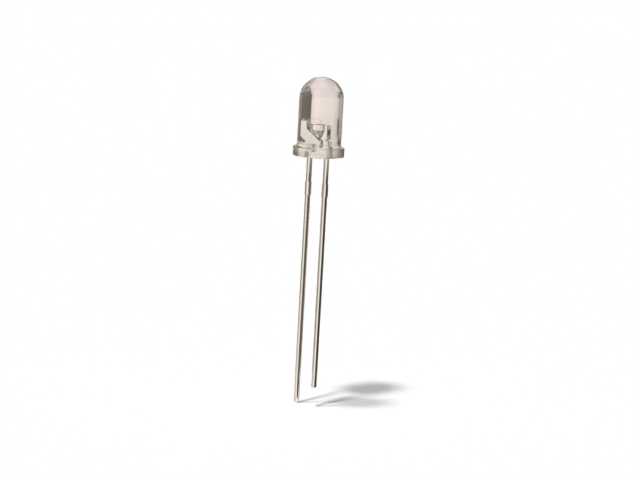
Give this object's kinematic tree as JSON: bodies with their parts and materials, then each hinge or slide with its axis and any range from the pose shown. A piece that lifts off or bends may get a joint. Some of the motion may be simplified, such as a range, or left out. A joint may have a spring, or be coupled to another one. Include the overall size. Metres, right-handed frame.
{
  "type": "through hole led",
  "caption": "Clear round LED: domed body on a flanged base with a cathode flat, reflector cup and chip inside, and long solderable leads of unequal length.",
  "frame": {"origin": "centre of the flange's underside, on the optical axis", "axes": "+Z along the optical axis towards the dome, +X from the anode's lead towards the cathode's lead and the flange's flat"},
  "size_m": [0.0055, 0.0058, 0.0374],
  "materials": {
    "clear_epoxy": "clear cast epoxy, glossy, with a faint warm tint",
    "tinned_steel": "tinned, soft bright",
    "plated_frame": "tinned outside, silver plated inside the body",
    "chip": "polished semiconductor",
    "silver_bond": "cured silver filled adhesive",
    "gold_wire": "fine gold wire"
  },
  "bodies": {
    "root": {"lens": "clear_epoxy", "cathode_lead": "plated_frame", "anode_lead": "tinned_steel", "led_chip": "chip", "die_attach": "silver_bond", "bond_wire": "gold_wire"}
  },
  "joints": []
}
